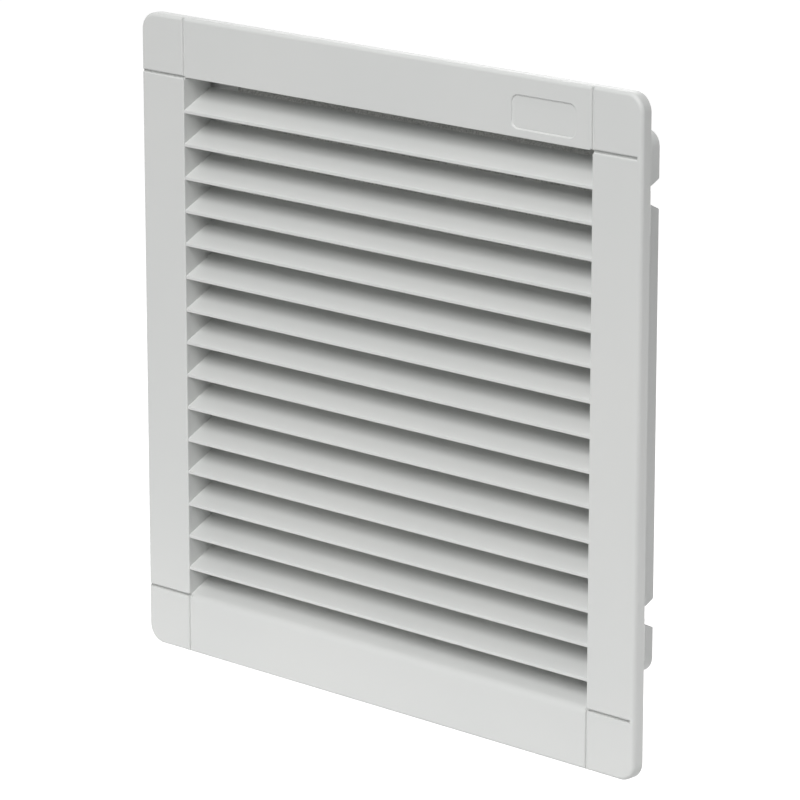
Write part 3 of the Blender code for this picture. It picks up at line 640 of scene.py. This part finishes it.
def weave(name):
    """Every wire of the cloth in one mesh."""
    columns = stations(SCREEN_HIGH.x - WIRE_PITCH / 2)
    rows = stations(SCREEN_HIGH.z - WIRE_PITCH / 2)
    verts = []
    faces = []
    for along, fixed_places, crossings in ((0, rows, columns), (2, columns, rows)):
        section = wire_section(along)
        for number, fixed in enumerate(fixed_places):
            first_vert = len(verts)
            for x, y, z in wire_points(fixed, crossings, along, number + along // 2):
                verts += [(x + dx, y + dy, z + dz) for dx, dy, dz in section]
            last = len(crossings) - 1
            for step in range(last):
                low = first_vert + 3 * step
                faces += [(low + k, low + (k + 1) % 3, low + 3 + (k + 1) % 3, low + 3 + k) for k in range(3)]
            faces.append((first_vert + 2, first_vert + 1, first_vert))
            end_vert = first_vert + 3 * last
            faces.append((end_vert, end_vert + 1, end_vert + 2))
    mesh = bpy.data.meshes.new(name)
    mesh.from_pydata(verts, [], faces)
    item = bpy.data.objects.new(name, mesh)
    bpy.context.scene.collection.objects.link(item)
    fix = bmesh.new()
    fix.from_mesh(mesh)
    bmesh.ops.recalc_face_normals(fix, faces=fix.faces)
    fix.to_mesh(mesh)
    fix.free()
    return item


cloth = weave("wire_cloth")
wire, wire_tree, wire_shader = new_material("stainless_wire")
wire_streak = noise_node(wire_tree, 700.0, 2.0)
wire_tone = ramp_node(wire_tree, wire_streak.outputs["Fac"], 0.3, 0.7, ((0.50, 0.50, 0.49), (0.63, 0.63, 0.62)))
wire_tree.links.new(wire_tone.outputs["Color"], wire_shader.inputs["Base Color"])
wire_shader.inputs["Metallic"].default_value = 1.0
wire_shader.inputs["Roughness"].default_value = 0.30
cloth.data.shade_smooth()
cloth.data.materials.append(wire)
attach(cloth, "frame")
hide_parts("shield_mesh")
print("cloth:", len(cloth.data.polygons), "faces")

# %% [markdown]
# ## Softer edges on the moulded frame
#
# Nothing leaves a mould with a perfectly sharp edge, and a sharp edge catches
# no light. This piece is a copy of its solid: the copy is merged, its flat
# regions are joined up again, and only its outward corners are rounded over,
# by a quarter of a millimetre.

# %% Rounded copy
def softened(node, name, width, material):
    """Copy of a solid of the fixed frame whose outward edges are rounded."""
    bm = bmesh.new()
    bm.from_mesh(frame["nodes"][node].data)
    bmesh.ops.remove_doubles(bm, verts=bm.verts, dist=1e-6)
    bmesh.ops.dissolve_limit(bm, angle_limit=math.radians(1.0), verts=bm.verts, edges=bm.edges)
    corner = math.radians(36.0)
    edges = [e for e in bm.edges if e.is_manifold and e.is_convex and e.calc_face_angle() > corner]
    bmesh.ops.bevel(
        bm, geom=edges, offset=width, segments=2, profile=0.5, affect="EDGES",
        clamp_overlap=False, material=-1,
    )
    item = make_object(name, bm)
    shade(item, 40.0)
    item.data.materials.append(material)
    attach(item, "frame")
    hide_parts(node)
    return item


moulded = softened("rear_frame", "moulded_frame", 0.25 * MM, frame_grey)
print("rounded copy:", len(moulded.data.polygons), "faces")

# %% [markdown]
# ## Screws and pins
#
# Round pieces are turned: a profile is drawn once beside the axis and spun
# round it. The screws get a domed head with a cross recess, the clip pins a
# head with a rounded rim and a small chamfer at the far end.

# %% Turning
CORNERS = {
    "top_left": (-1, 1), "top_right": (1, 1), "bottom_left": (-1, -1), "bottom_right": (1, -1),
}


def turned(profile, axis, centre, steps=32):
    """Spin a profile of (radius, level) once round an axis through a point."""
    place = PLACED[axis]
    bm = bmesh.new()
    across = {"Y": lambda r, h: (r, h, 0.0), "Z": lambda r, h: (r, 0.0, h)}[axis]
    verts = [bm.verts.new(across(radius, level)) for radius, level in profile]
    edges = [bm.edges.new(pair) for pair in zip(verts, verts[1:])]
    bmesh.ops.spin(
        bm, geom=verts + edges, cent=(0, 0, 0), axis=place(0, 0, 1),
        angle=math.tau, steps=steps, use_merge=True,
    )
    bmesh.ops.remove_doubles(bm, verts=bm.verts, dist=1e-6)
    bmesh.ops.translate(bm, verts=bm.verts, vec=centre)
    return bm


def settle(item, material, body, node):
    """Give a finished piece its shading, finish and place in the assembly."""
    shade(item)
    item.data.materials.clear()
    item.data.materials.append(material)
    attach(item, body)
    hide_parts(node)


# %% Screws
SHANK_RADIUS = 1.4 * MM
HEAD_RADIUS = 3.0 * MM
HEAD_HEIGHT = 1.8 * MM
HEAD_ROUND = 1.2 * MM
RECESS_REACH = 1.8 * MM
RECESS_HALF = 0.35 * MM
RECESS_DEPTH = 1.0 * MM


def domed_screw(node, name):
    """Pan-head screw with a cross recess, where its solid is."""
    low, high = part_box(node)
    middle = (low + high) / 2
    seat = high.y - HEAD_HEIGHT
    tip = low.y - seat
    rim = arc((HEAD_RADIUS - HEAD_ROUND, HEAD_HEIGHT - HEAD_ROUND), HEAD_ROUND, 0.0, 90.0, 6)
    profile = [(0.0, tip), (SHANK_RADIUS * 0.6, tip), (SHANK_RADIUS, tip + SHANK_RADIUS)]
    profile += [(SHANK_RADIUS, 0.0), (HEAD_RADIUS, 0.0)] + rim + [(0.0, HEAD_HEIGHT)]
    screw = make_object(name, turned(profile, "Y", (middle.x, seat, middle.z)))
    for a, b in ((RECESS_REACH, RECESS_HALF), (RECESS_HALF, RECESS_REACH)):
        arm = [(middle.x + i * a, middle.z + j * b) for i, j in ((1, 1), (-1, 1), (-1, -1), (1, -1))]
        combine(screw, pushed(arm, "Y", high.y - RECESS_DEPTH, high.y + OVER), "DIFFERENCE")
    return screw


for place_name in CORNERS:
    node = "shield_screw_" + place_name
    settle(domed_screw(node, "domed_screw_" + place_name), zinc, "frame", node)

# %% Pins
PIN_RADIUS = 1.0 * MM
PIN_HEAD_RADIUS = 1.7 * MM
PIN_HEAD = 0.8 * MM
PIN_ROUND = 0.3 * MM


def headed_pin(node, name):
    """Pin with a rounded head at its upper end."""
    low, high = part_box(node)
    middle = (low + high) / 2
    neck = high.z - PIN_HEAD
    rim = arc((PIN_HEAD_RADIUS - PIN_ROUND, high.z - PIN_ROUND), PIN_ROUND, 0.0, 90.0, 4)
    profile = [(0.0, low.z), (PIN_RADIUS - PIN_ROUND, low.z), (PIN_RADIUS, low.z + PIN_ROUND)]
    profile += [(PIN_RADIUS, neck), (PIN_HEAD_RADIUS, neck)] + rim + [(0.0, high.z)]
    return make_object(name, turned(profile, "Z", (middle.x, middle.y, 0.0), 28))


for place_name in CORNERS:
    node = "clip_pin_" + place_name
    settle(headed_pin(node, "headed_pin_" + place_name), zinc, "frame", node)
print("screws and pins ready")

# %% [markdown]
# ## Panel clips
#
# A clip is one strip of spring steel, rolled into an eye round its pin. Its leaf
# swells outwards to the hook that grips the panel. A few points give the leaf's
# path, and a Catmull-Rom curve through them takes out the kinks that a real
# strip of spring steel could never have.

# %% Bent strip
def smooth_path(points, steps):
    """Catmull-Rom curve through the points of a path."""
    ends = [points[0]] + points + [points[-1]]
    path = []
    for before, here, after, beyond in zip(ends, ends[1:], ends[2:], ends[3:]):
        for step in range(steps):
            t = step / steps
            path.append(tuple(
                0.5 * (2 * q + (r - p) * t + (2 * p - 5 * q + 4 * r - s) * t * t
                       + (3 * q - p - 3 * r + s) * t ** 3)
                for p, q, r, s in zip(before, here, after, beyond)
            ))
    return path + [points[-1]]


def strip_outline(path, thickness):
    """Outline of a strip of even thickness along a path."""
    left = []
    right = []
    for index, point in enumerate(path):
        before = Vector(path[max(index - 1, 0)])
        after = Vector(path[min(index + 1, len(path) - 1)])
        along = (after - before).normalized()
        aside = Vector((-along.y, along.x)) * thickness / 2
        left.append(tuple(Vector(point) + aside))
        right.append(tuple(Vector(point) - aside))
    return left + right[::-1]


# %% Clips
CLIP_SHEET = 0.6 * MM
CLIP_BORE = 1.3 * MM
CLIP_EYE = 1.9 * MM
CLIP_REACH = 7.6 * MM
CLIP_TAIL = 9.0 * MM


def sprung_clip(node, name, side):
    """Eye, leaf and tail of a clip, drawn on its own axis and then put in place."""
    low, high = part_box(node)
    axis_x = frame_axis(node)[0]
    axis_y = frame_axis(node)[1]
    grip = low.y + CLIP_SHEET / 2 - axis_y
    leaf = [
        (0.0, 0.0), (CLIP_REACH * 0.42, -CLIP_SHEET), (CLIP_REACH * 0.70, grip * 0.17),
        (CLIP_REACH * 0.97, grip * 0.80), (CLIP_REACH * 0.92, grip * 0.94), (CLIP_REACH * 0.70, grip),
    ]
    leaf = strip_outline(smooth_path(leaf, 6), CLIP_SHEET)
    half = CLIP_SHEET / 2
    tail = [(-CLIP_TAIL, -half), (0.0, -half), (0.0, half), (-CLIP_TAIL, half)]

    def placed(outline):
        """Outline moved to the clip's axis, mirrored on the left side."""
        return [(axis_x + side * a, axis_y + b) for a, b in outline]

    eye = arc((0.0, 0.0), CLIP_EYE, 0.0, 360.0, 36)[:-1]
    bore = arc((0.0, 0.0), CLIP_BORE, 0.0, 360.0, 36)[:-1]
    clip = make_object(name, pushed(placed(eye), "Z", low.z, high.z))
    combine(clip, pushed(placed(leaf), "Z", low.z, high.z), "UNION")
    combine(clip, pushed(placed(tail), "Z", low.z, high.z), "UNION")
    combine(clip, pushed(placed(bore), "Z", low.z - OVER, high.z + OVER), "DIFFERENCE")
    return clip


def frame_axis(node):
    """Where a clip's hinge stands, read from the frame's joints."""
    wanted = node.replace("panel_clip", "clip_swing")
    return next(joint["pos_m"] for joint in frame["joints"] if joint["name"] == wanted)


for place_name, (side, _) in CORNERS.items():
    node = "panel_clip_" + place_name
    clip = sprung_clip(node, "sprung_clip_" + place_name, side)
    settle(clip, steel_along_z, "clip_" + place_name, node)
print("clips ready")

# %% [markdown]
# ## Finishes on the carried-over solids
#
# The solids whose shape is already right only need their material. One table
# says which finish goes on which node.

# %% Assign finishes
def dress(node, material):
    """Give a carried-over solid its finish."""
    mesh = frame["nodes"][node].data
    mesh.materials.clear()
    mesh.materials.append(material)


foam, foam_tree, foam_shader = new_material("black_foam")
foam_cells = noise_node(foam_tree, 1400.0, 3.0)
foam_tone = ramp_node(foam_tree, foam_cells.outputs["Fac"], 0.35, 0.7, ((0.012, 0.012, 0.013), (0.045, 0.045, 0.047)))
foam_tree.links.new(foam_tone.outputs["Color"], foam_shader.inputs["Base Color"])
foam_shader.inputs["Roughness"].default_value = 0.92
bump_node(foam_tree, foam_shader, foam_cells.outputs["Fac"], 0.5, 0.0002)

for name in frame["nodes"]:
    if name == "panel_gasket":
        dress(name, foam)
    elif name == "shield_frame":
        dress(name, zinc)
    elif name in ("contact_strip_top", "contact_strip_bottom"):
        dress(name, steel_along_x)
    elif name.startswith("contact_strip"):
        dress(name, steel_along_z)

# %% [markdown]
# ## Camera
#
# The photograph was taken with a long lens, from the right and a little above.
# The camera stands on a ball round the object: azimuth and elevation give
# its direction, and the lens length sets how much it sees.

# %% Camera
AZIMUTH = math.radians(43.35)
ELEVATION = math.radians(14.54)
TARGET = Vector((5.6, 0.0, -5.4)) * MM
DISTANCE = 1.677
camera_data = bpy.data.cameras.new("camera")
camera_data.lens = 204.8
camera_data.sensor_width = 36.0
camera_data.clip_end = 50.0
camera = bpy.data.objects.new("camera", camera_data)
bpy.context.scene.collection.objects.link(camera)
back = Vector((
    math.sin(AZIMUTH) * math.cos(ELEVATION),
    -math.cos(AZIMUTH) * math.cos(ELEVATION),
    math.sin(ELEVATION),
))
camera.location = TARGET + back * DISTANCE
camera.rotation_mode = "QUATERNION"
camera.rotation_quaternion = (-back).to_track_quat("-Z", "Y")
bpy.context.scene.camera = camera
print("camera at", [round(v, 3) for v in camera.location])

# %% [markdown]
# ## Floor, world and lamps
#
# Product photographs of this kind are cut out on white. The floor lies well
# below the object, so its shadow falls outside the picture, and the world is
# white to the camera but gives only part of that light to the object.

# %% Floor and world
FLOOR_Z = -0.45
floor_bm = bmesh.new()
bmesh.ops.create_circle(floor_bm, cap_ends=True, segments=64, radius=12.0)
bmesh.ops.translate(floor_bm, verts=floor_bm.verts, vec=(0, 0, FLOOR_Z))
floor = make_object("floor", floor_bm)
paper, paper_tree, paper_shader = new_material("white_paper")
paper_shader.inputs["Base Color"].default_value = (0.40, 0.40, 0.40, 1.0)
paper_shader.inputs["Roughness"].default_value = 0.9
paper_shader.inputs["Emission Color"].default_value = (1.0, 1.0, 1.0, 1.0)
paths = paper_tree.nodes.new("ShaderNodeLightPath")
seen = paper_tree.nodes.new("ShaderNodeMath")
seen.operation = "MAXIMUM"
paper_tree.links.new(paths.outputs["Is Camera Ray"], seen.inputs[0])
paper_tree.links.new(paths.outputs["Is Glossy Ray"], seen.inputs[1])
glow = paper_tree.nodes.new("ShaderNodeMath")
glow.operation = "MULTIPLY"
glow.inputs[1].default_value = 0.92
paper_tree.links.new(seen.outputs[0], glow.inputs[0])
paper_tree.links.new(glow.outputs[0], paper_shader.inputs["Emission Strength"])
floor.data.materials.append(paper)

WORLD_LIGHT = 0.03
world = bpy.data.worlds.new("studio")
bpy.context.scene.world = world
world.use_nodes = True
sky = world.node_tree
sky_light = sky.nodes["Background"]
sky_light.inputs["Color"].default_value = (1.0, 1.0, 1.0, 1.0)
sky_paths = sky.nodes.new("ShaderNodeLightPath")
direct = sky.nodes.new("ShaderNodeMath")
direct.operation = "MAXIMUM"
sky.links.new(sky_paths.outputs["Is Camera Ray"], direct.inputs[0])
sky.links.new(sky_paths.outputs["Is Glossy Ray"], direct.inputs[1])
level = sky.nodes.new("ShaderNodeMapRange")
level.inputs["To Min"].default_value = WORLD_LIGHT
level.inputs["To Max"].default_value = 1.0
sky.links.new(direct.outputs[0], level.inputs["Value"])
sky.links.new(level.outputs["Result"], sky_light.inputs["Strength"])

# %% [markdown]
# ## Lamps
#
# A far soft lamp from the front right gives the face and the side their tones,
# and throws each blade's shadow onto the next. A weak one overhead lights the
# rounded top edge. A small one low in front stands for the bright table, so the
# face grows lighter towards its foot, and a small one low on the right does the
# same for the box's side. The last one keeps the back readable.


# %% Lamps
def softbox(name, place, aim, size, watts):
    """Area lamp, width by height, that looks at a point and stays unseen."""
    data = bpy.data.lights.new(name, "AREA")
    data.shape = "RECTANGLE"
    data.size, data.size_y = size
    data.energy = watts
    lamp = bpy.data.objects.new(name, data)
    bpy.context.scene.collection.objects.link(lamp)
    lamp.location = place
    lamp.rotation_mode = "QUATERNION"
    lamp.rotation_quaternion = (Vector(aim) - Vector(place)).to_track_quat("-Z", "Y")
    lamp.visible_camera = False
    return lamp


softbox("key_front_right", (0.97, -2.74, 2.63), (0, 0, 0), (2.3, 2.3), 134.0)
softbox("overhead", (0.0, -0.2, 1.6), (0, 0, 0), (0.8, 0.8), 6.0)
softbox("table_glow", (-0.06, -0.22, -0.30), (0, 0, -0.08), (0.8, 0.15), 0.60)
softbox("side_low_right", (0.525, 0.32, -0.20), (0.105, 0.03, 0), (0.30, 0.30), 1.15)
softbox("back_soft", (-0.9, 1.5, 0.9), (0, 0, 0), (1.0, 1.0), 10.0)

# %% View transform
bpy.context.scene.view_settings.view_transform = "Standard"
